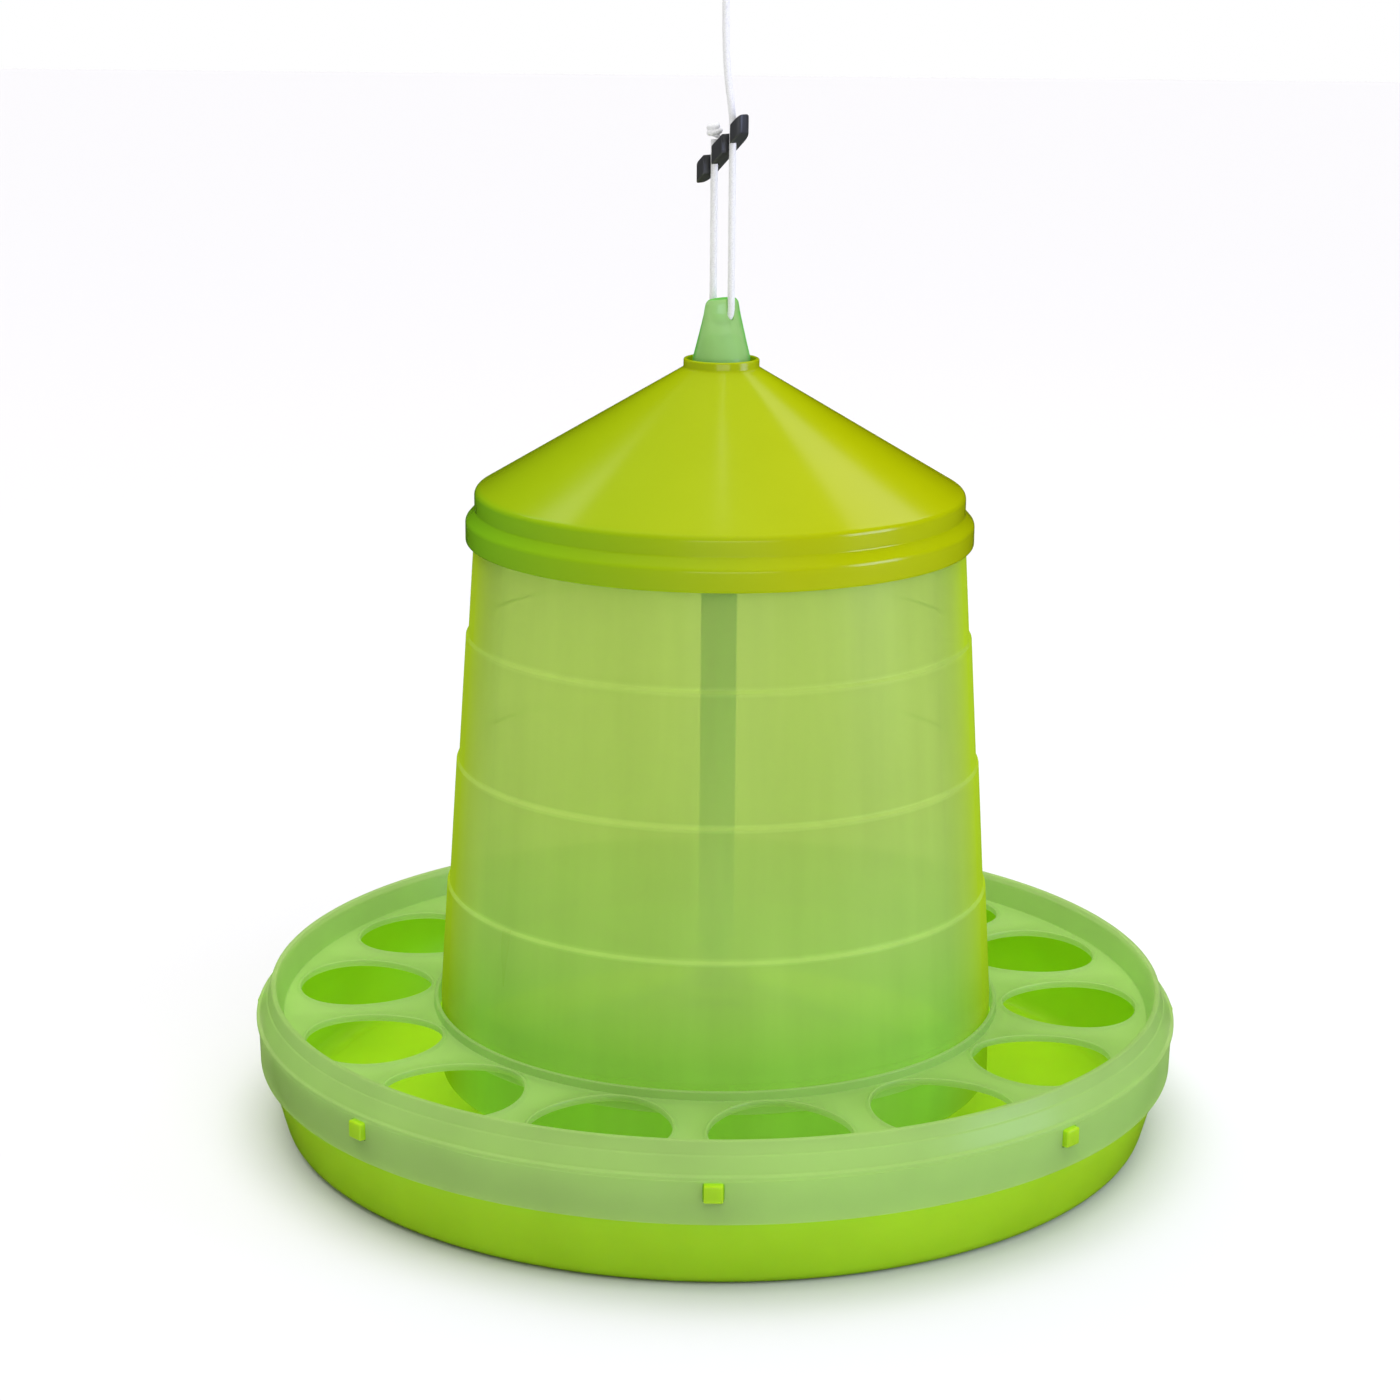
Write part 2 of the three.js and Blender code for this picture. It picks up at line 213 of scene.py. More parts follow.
def blocks(name, places, rounding=0.5):
    """Boxes with rounded edges, each given as (middle, sides, turn about Z)."""
    shape = bmesh.new()
    for middle, sides, turn in places:
        where = Matrix.Rotation(turn, 4, "Z") @ Matrix.Translation(Vector(middle) * MM)
        size = Matrix.Diagonal((*(Vector(sides) * MM), 1))
        bmesh.ops.create_cube(shape, size=1, matrix=where @ size)
    if rounding:
        edges = shape.edges[:]
        bmesh.ops.bevel(shape, geom=edges, offset=rounding * MM, segments=3, affect="EDGES", profile=0.5)
    mesh = bpy.data.meshes.new(name)
    shape.to_mesh(mesh)
    shape.free()
    piece = bpy.data.objects.new(name, mesh)
    bpy.context.scene.collection.objects.link(piece)
    clean(piece)
    return piece


def apply_modifiers(piece, sharp=38):
    graph = bpy.context.evaluated_depsgraph_get()
    mesh = bpy.data.meshes.new_from_object(piece.evaluated_get(graph))
    piece.modifiers.clear()
    piece.data = mesh
    clean(piece, sharp)


def combine(piece, other, operation):
    """Joins other to piece or cuts it from piece, and removes other."""
    modifier = piece.modifiers.new("combine", "BOOLEAN")
    modifier.operation = operation
    modifier.solver = "EXACT"
    modifier.object = other
    apply_modifiers(piece)
    bpy.data.objects.remove(other)


def soften(piece, width, segments=3, angle=35):
    """Rounds the edges that the eye sees, as a moulding's edges are."""
    modifier = piece.modifiers.new("soften", "BEVEL")
    modifier.width = width * MM
    modifier.segments = segments
    modifier.limit_method = "ANGLE"
    modifier.angle_limit = math.radians(angle)
    modifier.harden_normals = False
    apply_modifiers(piece)


def tube(name, points, radius_at, sides=14):
    """A bar along points, in millimetres. radius_at takes a share round and a distance along."""
    loops = []
    along = 0
    side = None
    for i, here in enumerate(points):
        ahead = points[min(i + 1, len(points) - 1)]
        behind = points[max(i - 1, 0)]
        way = (ahead - behind).normalized()
        if side is None:
            side = way.orthogonal().normalized()
        side = (side - way * side.dot(way)).normalized()
        across = way.cross(side)
        loop = []
        for k in range(sides):
            angle = 2 * math.pi * k / sides
            reach = radius_at(angle, along)
            loop.append(here + side * (reach * math.cos(angle)) + across * (reach * math.sin(angle)))
        loops.append(loop)
        along += (ahead - here).length
    return lofted(name, loops, sharp=70)


def smooth_path(points, step=0.6):
    """A centripetal curve through points, sampled about every step millimetres."""
    path = []
    count = len(points)
    for i in range(count - 1):
        p1, p2 = points[i], points[i + 1]
        p0 = points[i - 1] if i else p1 * 2 - p2
        p3 = points[i + 2] if i + 2 < count else p2 * 2 - p1
        t1 = math.sqrt((p1 - p0).length)
        t2 = t1 + math.sqrt((p2 - p1).length)
        t3 = t2 + math.sqrt((p3 - p2).length)
        pieces = max(2, round((p2 - p1).length / step))
        for k in range(pieces):
            t = t1 + (t2 - t1) * k / pieces
            a1 = p0.lerp(p1, t / t1)
            a2 = p1.lerp(p2, (t - t1) / (t2 - t1))
            a3 = p2.lerp(p3, (t - t2) / (t3 - t2))
            b1 = a1.lerp(a2, t / t2)
            b2 = a2.lerp(a3, (t - t1) / (t3 - t1))
            path.append(b1.lerp(b2, (t - t1) / (t2 - t1)))
    path.append(points[-1].copy())
    return path


# ---------------------------------------------------------------- camera
CAMERA_PLACE = (0, -1.2255, 0.4992) # metres
CAMERA_LENS = 77.14
CAMERA_SHIFT = (-0.013, 0.0012)
CAMERA_PITCH, CAMERA_LEAN = math.radians(14.585), math.radians(0.554)


def make_camera():
    """A lens a little above the lid that looks down and leans half a degree, shifted a little aside."""
    camera = bpy.data.objects.new("camera", bpy.data.cameras.new("camera"))
    camera.data.sensor_width = 36
    camera.data.lens = CAMERA_LENS
    camera.data.shift_x, camera.data.shift_y = CAMERA_SHIFT
    turn = Matrix.Rotation(math.pi / 2 - CAMERA_PITCH, 4, "X") @ Matrix.Rotation(CAMERA_LEAN, 4, "Z")
    camera.matrix_world = Matrix.Translation(CAMERA_PLACE) @ turn
    bpy.context.scene.collection.objects.link(camera)
    bpy.context.scene.camera = camera


# ---------------------------------------------------------------- cord
def strand(side, z):
    """A point between the strands at height z: side runs from -1, the back strand, to 1, the front one."""
    reach = side * STRAND_OFFSET
    return Vector((reach * math.cos(STRAND_ANGLE), reach * math.sin(STRAND_ANGLE), z))


def cord_routes():
    """The back and the front strand, each from the bottom of the eye to its knot."""
    turn = []
    turn_steps = 8
    for i in range(turn_steps + 1):
        angle = math.pi * i / turn_steps
        turn.append(strand(-math.cos(angle), EYE_Z - STRAND_OFFSET * math.sin(angle)))
    middle = turn_steps // 2
    back = turn[middle::-1] + [strand(-1, z) for z in (354, 365, 377, 389, 401, 414)]
    front = turn[middle:] + [strand(1, z) for z in (354, 365, 377, 389, 401, 411, 420)]
    inwards = ((0.8, 428), (0.46, 437), (0.24, 447), (0.14, 459), (0.1, 474))
    front += [strand(share, z) for share, z in inwards]
    return smooth_path(back), smooth_path(front)


def braid(angle, along, plaits=4, lay=9):
    """The radius of a braided cord: two sets of plaits that wind opposite ways, over and under."""
    turn = 2 * math.pi * along / lay
    over = abs(math.sin(plaits * (angle + turn) / 2))
    under = abs(math.sin(plaits * (angle - turn) / 2))
    return CORD_RADIUS - 0.16 + 0.16 * max(over, under)


def wrapped_knot(name, centre, turn_radius, turns, height, thick):
    """A barrel knot: the cord's end wound round its own standing part."""
    steps = round(26 * turns)
    path = []
    for i in range(steps + 1):
        share = i / steps
        angle = 2 * math.pi * turns * share
        tuck = turn_radius * min(1, 0.35 + 5 * share, 0.35 + 5 * (1 - share))
        path.append(centre + Vector((tuck * math.cos(angle), tuck * math.sin(angle), height * (share - 0.5))))
    return tube(name, path, lambda angle, along: thick - 0.1 + 0.1 * abs(math.sin(2 * angle + along)), 12)


def make_cord():
    back_path, front_path = cord_routes()
    back = tube("cord_back_strand", back_path, braid)
    front = tube("cord_front_strand", front_path, braid)
    low, high = (Vector(corner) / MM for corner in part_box("stopper_knot"))
    stopper = wrapped_knot("stopper_knot_turns", (low + high) / 2, 2.0, 2, 4.0, 1.35)
    low, high = (Vector(corner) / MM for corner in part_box("top_knot"))
    top = wrapped_knot("top_knot_turns", (low + high) / 2, 3.0, 3.2, 8.6, 1.5)
    loop_points = [(-2.1, 487.3), (-5.8, 494), (-7.9, 503), (-5.6, 510.6), (0, 513.8)]
    loop_points += [(-x, z) for x, z in reversed(loop_points[:-1])]
    loop_path = smooth_path([Vector((x, 0, z)) for x, z in loop_points])
    loop = tube("cord_end_loop", loop_path, braid)
    for piece in (back, front):
        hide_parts("cord")
    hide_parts("stopper_knot")
    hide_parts("top_knot")
    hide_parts("cord_loop")
    fibre = cord_fibre()
    for piece in (back, front, stopper, top, loop):
        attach(piece, "hanger")
        piece.data.materials.append(fibre)


# ---------------------------------------------------------------- materials
class Nodes:
    """Makes a material's nodes in few words."""

    def __init__(self, name):
        self.material = bpy.data.materials.new(name)
        self.material.use_nodes = True
        self.tree = self.material.node_tree
        self.tree.nodes.clear()
        self.output = self.tree.nodes.new("ShaderNodeOutputMaterial")

    def add(self, kind, values=None):
        node = self.tree.nodes.new("ShaderNode" + kind)
        for socket, value in (values or {}).items():
            node.inputs[socket].default_value = value
        return node

    def link(self, source, target):
        self.tree.links.new(source, target)


def linear(red, green, blue):
    """A colour given as 0 to 255 display values, as the renderer counts light."""
    def one(value):
        share = value / 255
        return share / 12.92 if share <= 0.04045 else ((share + 0.055) / 1.055) ** 2.4
    return (one(red), one(green), one(blue), 1)


def moulded(nodes, shader, colour, roughness, grain=0.02, mottle=0.06, streaks=False):
    """Gives a shader a moulded plastic's faint mottle, uneven gloss and fine surface grain."""
    place = nodes.add("TexCoord").outputs["Object"]
    cloud = nodes.add("TexNoise", {"Scale": 14, "Detail": 3, "Roughness": 0.6})
    stretch = nodes.add("Mapping", {"Scale": (3, 3, 0.25) if streaks else (1, 1, 1)})
    nodes.link(place, stretch.inputs["Vector"])
    nodes.link(stretch.outputs["Vector"], cloud.inputs["Vector"])
    tone = nodes.add("MapRange", {"From Min": 0.3, "From Max": 0.7})
    tone.inputs["To Min"].default_value = 1 - mottle
    tone.inputs["To Max"].default_value = 1 + mottle
    nodes.link(cloud.outputs["Fac"], tone.inputs["Value"])
    shade = nodes.add("HueSaturation")
    if isinstance(colour, tuple):
        shade.inputs["Color"].default_value = colour
    else:
        nodes.link(colour, shade.inputs["Color"])
    nodes.link(tone.outputs["Result"], shade.inputs["Value"])
    nodes.link(shade.outputs["Color"], shader.inputs["Base Color"])
    gloss = nodes.add("MapRange", {"To Min": roughness * 0.8, "To Max": roughness * 1.2})
    nodes.link(cloud.outputs["Fac"], gloss.inputs["Value"])
    nodes.link(gloss.outputs["Result"], shader.inputs["Roughness"])
    fine = nodes.add("TexNoise", {"Scale": 900, "Detail": 2})
    nodes.link(place, fine.inputs["Vector"])
    bump = nodes.add("Bump", {"Strength": grain, "Distance": 0.0002})
    nodes.link(fine.outputs["Fac"], bump.inputs["Height"])
    nodes.link(bump.outputs["Normal"], shader.inputs["Normal"])
    return bump.outputs["Normal"], shade.outputs["Color"]


def solid_plastic(name, colour, roughness, coat=0.3, scatter=0.0, gleam=0.5):
    nodes = Nodes(name)
    shader = nodes.add("BsdfPrincipled", {"Coat Weight": coat, "Coat Roughness": 0.12, "IOR": 1.5})
    shader.inputs["Specular IOR Level"].default_value = gleam
    if scatter:
        shader.inputs["Subsurface Weight"].default_value = scatter
        shader.inputs["Subsurface Scale"].default_value = 0.006
        shader.inputs["Subsurface Radius"].default_value = (0.7, 1, 0.2)
    moulded(nodes, shader, colour, roughness)
    nodes.link(shader.outputs["BSDF"], nodes.output.inputs["Surface"])
    return nodes.material


def lid_plastic():
    """Yellow-lime plastic with painted shade and painted show-through of the green hopper: greener low down,
    where the hopper shows through, most of all towards -X, and a little greener towards -X above.
    """
    nodes = Nodes("yellow lime plastic")
    shader = nodes.add("BsdfPrincipled", {"IOR": 1.5, "Specular IOR Level": 0.5})
    _, colour = moulded(nodes, shader, linear(*LID_COLOUR), 0.17, mottle=0.03)
    place = nodes.add("SeparateXYZ")
    nodes.link(nodes.add("TexCoord").outputs["Object"], place.inputs["Vector"])
    # Painted shade and painted show-through of the hopper: greener below the band, and greener towards -X.
    band = (LID_SHADE_BAND_Z * MM, (LID_SHADE_BAND_Z + 3) * MM)
    low = nodes.add("MapRange", {"From Min": band[0], "From Max": band[1], "To Min": 1, "To Max": 0})
    nodes.link(place.outputs["Z"], low.inputs["Value"])
    left = nodes.add("MapRange", {"From Min": -0.1, "From Max": 0.05, "To Min": 0.45, "To Max": 0.0})
    nodes.link(place.outputs["X"], left.inputs["Value"])
    left_low = nodes.add("MapRange", {"From Min": -0.1, "From Max": 0.03, "To Min": 0.95, "To Max": 0.05})
    nodes.link(place.outputs["X"], left_low.inputs["Value"])
    share = nodes.add("Mix")
    share.data_type = "FLOAT"
    nodes.link(low.outputs["Result"], share.inputs["Factor"])
    nodes.link(left.outputs["Result"], share.inputs[2])
    nodes.link(left_low.outputs["Result"], share.inputs[3])
    blend = nodes.add("Mix")
    blend.data_type = "RGBA"
    nodes.link(share.outputs[0], blend.inputs["Factor"])
    nodes.link(colour, blend.inputs[6])
    blend.inputs[7].default_value = linear(*LID_PAINTED_SHADE_GREEN)
    nodes.link(blend.outputs[2], shader.inputs["Base Color"])
    nodes.link(shader.outputs["BSDF"], nodes.output.inputs["Surface"])
    return nodes.material


def height_ramp(nodes, stops):
    """Colour and opacity by height, from (height in millimetres, colour, opacity) stops, lowest first."""
    low, high = stops[0][0], stops[-1][0]
    place = nodes.add("SeparateXYZ")
    nodes.link(nodes.add("TexCoord").outputs["Object"], place.inputs["Vector"])
    share = nodes.add("MapRange", {"From Min": low * MM, "From Max": high * MM})
    nodes.link(place.outputs["Z"], share.inputs["Value"])
    node = nodes.add("ValToRGB")
    nodes.link(share.outputs["Result"], node.inputs["Fac"])
    points = node.color_ramp.elements
    for height, colour, opacity in stops[1:-1]:
        points.new((height - low) / (high - low)).color = (*linear(*colour)[:3], opacity)
    for point, (height, colour, opacity) in ((points[0], stops[0]), (points[-1], stops[-1])):
        point.color = (*linear(*colour)[:3], opacity)
    return node


def see_through_plastic(name, colour, tint, lamp_tint, opacity, glow, edge_colour=None, stops=None,
                        streaks=False):
    """Milky plastic: some light goes straight through, tinted, and the rest scatters to both sides."""
    nodes = Nodes(name)
    shader = nodes.add("BsdfPrincipled", {"Coat Weight": 0.15, "Coat Roughness": 0.15, "IOR": 1.49})
    ramp = height_ramp(nodes, stops) if stops else None
    if ramp:
        colour = ramp.outputs["Color"]
    normal, shade = moulded(nodes, shader, colour, 0.3, streaks=streaks)
    back_light = nodes.add("BsdfTranslucent")
    nodes.link(shade, back_light.inputs["Color"])
    nodes.link(normal, back_light.inputs["Normal"])
    body = nodes.add("MixShader", {"Fac": glow})
    nodes.link(shader.outputs["BSDF"], body.inputs[1])
    nodes.link(back_light.outputs["BSDF"], body.inputs[2])
    if edge_colour:
        facing = nodes.add("LayerWeight", {"Blend": 0.5})
        edge = nodes.add("MapRange", {"From Min": 0.5, "From Max": 0.8, "To Max": 0.95})
        nodes.link(facing.outputs["Facing"], edge.inputs["Value"])
        deep = nodes.add("BsdfDiffuse", {"Color": edge_colour})
        thicker = nodes.add("MixShader")
        nodes.link(edge.outputs["Result"], thicker.inputs["Fac"])
        nodes.link(body.outputs["Shader"], thicker.inputs[1])
        nodes.link(deep.outputs["BSDF"], thicker.inputs[2])
        body = thicker
    clear = nodes.add("BsdfTransparent", {"Color": tint})
    whole = nodes.add("MixShader", {"Fac": opacity})
    nodes.link(clear.outputs["BSDF"], whole.inputs[1])
    nodes.link(body.outputs["Shader"], whole.inputs[2])
    if ramp:
        depth = nodes.add("MapRange", {"To Max": 0.95})
        nodes.link(edge.outputs["Result"], depth.inputs["Value"])
        nodes.link(ramp.outputs["Alpha"], depth.inputs["To Min"])
        nodes.link(depth.outputs["Result"], whole.inputs["Fac"])
    to_lamp = nodes.add("BsdfTransparent", {"Color": lamp_tint})
    lit = nodes.add("MixShader")
    nodes.link(nodes.add("LightPath").outputs["Is Shadow Ray"], lit.inputs["Fac"])
    nodes.link(whole.outputs["Shader"], lit.inputs[1])
    nodes.link(to_lamp.outputs["BSDF"], lit.inputs[2])
    nodes.link(lit.outputs["Shader"], nodes.output.inputs["Surface"])
    return nodes.material


def cord_fibre():
    """White braid: fine fibres over the plaits that the mesh has, with painted shade that makes it a touch
    darker in the fibres' hollows.
    """
    nodes = Nodes("cord fibre")
    shader = nodes.add("BsdfPrincipled", {"Roughness": 0.75, "Sheen Weight": 0.3})
    place = nodes.add("TexCoord").outputs["Object"]
    fibres = nodes.add("TexNoise", {"Scale": 2600, "Detail": 2})
    nodes.link(place, fibres.inputs["Vector"])
    # Painted shade: where the fibre bump is low, the colour is darker.
    ramp = nodes.add("ValToRGB")
    ramp.color_ramp.elements[0].color = linear(*CORD_HOLLOW_SHADE)
    ramp.color_ramp.elements[1].color = linear(*CORD_CREST)
    ramp.color_ramp.elements[0].position = 0.3
    ramp.color_ramp.elements[1].position = 0.62
    nodes.link(fibres.outputs["Fac"], ramp.inputs["Fac"])
    nodes.link(ramp.outputs["Color"], shader.inputs["Base Color"])
    bump = nodes.add("Bump", {"Strength": 0.4, "Distance": 0.0003})
    nodes.link(fibres.outputs["Fac"], bump.inputs["Height"])
    nodes.link(bump.outputs["Normal"], shader.inputs["Normal"])
    nodes.link(shader.outputs["BSDF"], nodes.output.inputs["Surface"])
    return nodes.material


def place_piece(piece, node, body, material):
    piece.data.materials.clear()
    piece.data.materials.append(material)
    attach(piece, body)
    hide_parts(node)


# ---------------------------------------------------------------- dish
def make_dish():
    """The pan with its spreading cone, rounded foot and eight lugs, and a key slot for the rod."""
    boss_under = BOSS_TOP_Z - BOSS_PLATE
    dish = turned("feed_dish", [
        (6.5, BOSS_TOP_Z, 0.5),
        (17, BOSS_TOP_Z, 2),
        (105.5, 4.8, 12),
        (114, DISH_SINK, 6),
        (181.9, 2.2, 8),
        (189, 27, 30),
        (RIM_RADIUS, DISH_RIM_Z, 0.7),
        (192.4, DISH_RIM_Z, 0.7),
        (191.2, 26, 30),
        (184.2, 0, 7),
        (166, 0, 1),
        (164, 0.8, 1),
        (132, 0.8, 1),
        (130, 0, 1),
        (110, 0, 1.5),
        (105, DISH_SINK, 3),
        (22, boss_under, 1.5),
        (6.5, boss_under, 0.5),
    ])
    lugs = []
    for k in range(LUG_COUNT):
        lugs.append(((LUG_MIDDLE, 0, LUG_Z), LUG_SIZE, 2 * math.pi * k / LUG_COUNT))
    combine(dish, blocks("lugs", lugs, rounding=0.7), "UNION")
    combine(dish, blocks("slot", [((0, 0, BOSS_TOP_Z), (6.4, 22, 20), 0)], rounding=0), "DIFFERENCE")
    lime = solid_plastic("lime plastic", linear(*LIME), 0.32, coat=0.1, scatter=0.5, gleam=0.35)
    place_piece(dish, "dish", "base", lime)


# ---------------------------------------------------------------- grill
HOLE_MIDDLE, HOLE_HALF_LENGTH, HOLE_HALF_WIDTH, HOLE_EGG = 152.2, 28.2, 27.6, 0.16
OUTER_STEPS, INNER_STEPS, SIDE_STEPS = 28, 16, 22


def hole_point(t, offset=0):
    """A point of the egg-shaped hole's edge, moved outwards by offset."""
    def at(u):
        return Vector((
            HOLE_MIDDLE + HOLE_HALF_LENGTH * math.cos(u),
            HOLE_HALF_WIDTH * math.sin(u) * (1 + HOLE_EGG * math.cos(u)),
        ))
    small = 1e-4
    along = (at(t + small) - at(t - small)).normalized()
    return at(t) + Vector((along.y, -along.x)) * offset


def sector_edge():
    """The edge of one hole's share of the plate, anticlockwise from the middle of its outer arc."""
    half = math.pi / HOLE_COUNT
    edge = []

    def polar(radius, angle):
        edge.append(Vector((radius * math.cos(angle), radius * math.sin(angle))))

    for i in range(OUTER_STEPS):
        polar(PLATE_OUTER, -half + 2 * half * i / OUTER_STEPS)
    for i in range(SIDE_STEPS):
        polar(PLATE_OUTER + (PLATE_INNER - PLATE_OUTER) * i / SIDE_STEPS, half)
    for i in range(INNER_STEPS):
        polar(PLATE_INNER, half - 2 * half * i / INNER_STEPS)
    for i in range(SIDE_STEPS):
        polar(PLATE_INNER + (PLATE_OUTER - PLATE_INNER) * i / SIDE_STEPS, -half)
    return edge


def plate_sector(turn, verts, faces):
    """One hole with its raised lip and the plate round it, added to the plate's lists."""
    edge = sector_edge()
    under = PLATE_Z - PLATE_THICK
    lip = [
        (0.9, under), (0.35, under + 0.15), (0.05, under + 0.6), (0, PLATE_Z + 0.2), (0.25, PLATE_Z + 0.75),
        (0.8, PLATE_Z + 1), (1.3, PLATE_Z + 0.8), (1.8, PLATE_Z + 0.35), (2.4, PLATE_Z),
    ]
    loops = [[(p, under) for p in edge]]
    ways = [math.atan2(p.y / HOLE_HALF_WIDTH, (p.x - HOLE_MIDDLE) / HOLE_HALF_LENGTH) for p in edge]
    for offset, z in lip:
        loops.append([(hole_point(way, offset), z) for way in ways])
    loops.append([(p, PLATE_Z) for p in edge])
    n = len(edge)
    start = len(verts)
    spin = Matrix.Rotation(turn, 2)
    for loop in loops:
        verts += [(*(spin @ p), z) for p, z in loop]
    for k in range(len(loops) - 1):
        for i in range(n):
            m = (i + 1) % n
            a, b = start + k * n, start + (k + 1) * n
            faces.append((a + i, a + m, b + m, b + i))


def plate_flange(corners, segments, verts, faces):
    """An open turned strip that joins the plate's top and bottom faces round one of its edges."""
    outline = rounded(corners, closed=False)
    start, n = len(verts), len(outline)
    half = math.pi / HOLE_COUNT
    for j in range(segments):
        angle = HOLE_PHASE - half + 2 * math.pi * j / segments
        verts += [(p.x * math.cos(angle), p.x * math.sin(angle), p.y) for p in outline]
    for j in range(segments):
        k = (j + 1) % segments
        for i in range(n - 1):
            faces.append((start + j * n + i, start + k * n + i, start + k * n + i + 1, start + j * n + i + 1))


def make_grill():
    verts, faces = [], []
    for k in range(HOLE_COUNT):
        plate_sector(HOLE_PHASE + 2 * math.pi * k / HOLE_COUNT, verts, faces)
    under = PLATE_Z - PLATE_THICK
    plate_flange([
        (PLATE_OUTER, PLATE_Z, 0),
        (185, PLATE_Z, 1.2),
        (RIM_RADIUS - 2, RIM_Z, 0.8),
        (RIM_RADIUS + 0.1, RIM_Z, 0.8),
        (191.6, 56.4, 0.8),
        (192.2, 55.9, 0.8),
        (195, 49.8, 0.8),
        (196.5, 49.4, 0.6),
        (196.5, 47.8, 0.6),
        (195.6, 47.5, 0.5),
        (195.2, SKIRT_Z, 0.6),
        (193.5, SKIRT_Z, 0.5),
        (193.8, 47.6, 3),
        (193.2, 50, 3),
        (189.2, RIM_Z - 3, 0.3),
        (188.5, RIM_Z - 3, 0.3),
        (185.6, under, 0.5),
        (PLATE_OUTER, under, 0),
    ], HOLE_COUNT * OUTER_STEPS, verts, faces)
    plate_flange([
        (PLATE_INNER, PLATE_Z, 0),
        (121.2, PLATE_Z, 0.4),
        (121, 52.8, 0.6),
        (119.2, 52.8, 0.6),
        (119.2, 43, 0.5),
        (121, 43, 0.5),
        (121.2, under, 0.3),
        (PLATE_INNER, under, 0),
    ], HOLE_COUNT * INNER_STEPS, verts, faces)
    grill = piece_from("feeding_grill", verts, faces, sharp=50)
    windows = []
    for k in range(LUG_COUNT):
        windows.append(((WINDOW_MIDDLE, 0, LUG_Z), WINDOW_SIZE, 2 * math.pi * k / LUG_COUNT))
    combine(grill, blocks("windows", windows, rounding=0.8), "DIFFERENCE")
    milky = see_through_plastic("milky green plastic", linear(*MILKY), linear(*MILKY_TINT), MILKY_LAMP_TINT,
                                0.7, 0.45)
    place_piece(grill, "grill_ring", "base", milky)


# ---------------------------------------------------------------- hopper
def hopper_radius(z):
    above = max(0, z - HOPPER_CONE_Z)
    steps = sum(z > height for height in STEP_HEIGHTS)
    return HOPPER_FOOT_RADIUS - HOPPER_SLOPE * above - STEP_DEPTH * steps


def make_hopper():
    heights = [HOPPER_FOOT_Z, HOPPER_CONE_Z]
    for z in STEP_HEIGHTS:
        heights += [z, z + STEP_RISE]
    heights.append(HOPPER_TOP_Z)
    outside = [(hopper_radius(z), z, 0.5) for z in heights]
    inside = [(radius - HOPPER_WALL, z, 0.5) for radius, z, _ in reversed(outside)]
    foot = inside.pop()
    rib = [(foot[0], 53, 0.3), (114.2, 53, 0.5), (foot[0], 50, 0.5)]
    hopper = turned("feed_hopper", outside + inside + rib + [foot])
    # Painted light by height: lighter, greener and more opaque low down.
    stops = [(HOPPER_FOOT_Z, *HOPPER_LOW), (62, *HOPPER_LOW)]
    for z, (colour, opacity) in zip(STEP_HEIGHTS, HOPPER_BANDS):
        # Each ledge is painted lighter and a little more opaque: a painted highlight along the step, partly
        # standing for the denser plastic there.
        ledge = (tuple(value + 8 for value in colour), opacity + 0.04)
        stops += [(z - 1, colour, opacity), (z - 0.2, *ledge), (z + 1.4, *ledge), (z + 2.4, colour, opacity)]
    stops.append((HOPPER_TOP_Z, *HOPPER_BANDS[-1]))
    clear = see_through_plastic("clear green plastic", None, linear(*CLEAR_TINT), HOPPER_LAMP_TINT, 0.36, 0.3,
                                edge_colour=linear(*EDGE), stops=stops, streaks=True)
    place_piece(hopper, "hopper", "funnel", clear)
    band = [(113.2, 53.5, 0.6), (115.3, 53.5, 0.4), (115.3, 62.5, 0.4), (113.2, 62.5, 0.6)]
    spider = turned("hopper_arms", band)
    arms = [((63, 0, 59.3), (102, 2.4, 6), math.pi * (1 + 2 * k) / ARM_COUNT) for k in range(ARM_COUNT)]
    combine(spider, blocks("arms", arms, rounding=0.4), "UNION")
    hub = turned("hub", [(8.4, 56.2, 0.4), (14, 56.2, 0.8), (13, 69, 0.8), (8.4, 69, 0.4)], 72)
    combine(spider, hub, "UNION")
    faint = see_through_plastic("clear green arms", linear(*CLEAR), linear(*CLEAR_TINT), HOPPER_LAMP_TINT,
                                0.2, 0.3)
    place_piece(spider, "hopper_spider", "funnel", faint)


# ---------------------------------------------------------------- rod, eye and clip
def squeezed(point):
    """Flattens the rod's cap in the strands' direction, more and more towards the top of the eye."""
    thin = Vector((math.cos(STRAND_ANGLE), math.sin(STRAND_ANGLE), 0))
    flattened = (1 - EYE_THINNEST) * (point.z - EYE_SQUEEZE_Z) / EYE_SQUEEZE_HEIGHT
    thickness = min(1, max(EYE_THINNEST, 1 - flattened))
    return point + thin * ((thickness - 1) * point.dot(thin))


def cap_shell(name, corners, count=72):
    outline = rounded(corners, closed=False)
    return lofted(name, [ring_of(count, p.x, p.y, squeezed) for p in outline], sharp=60)


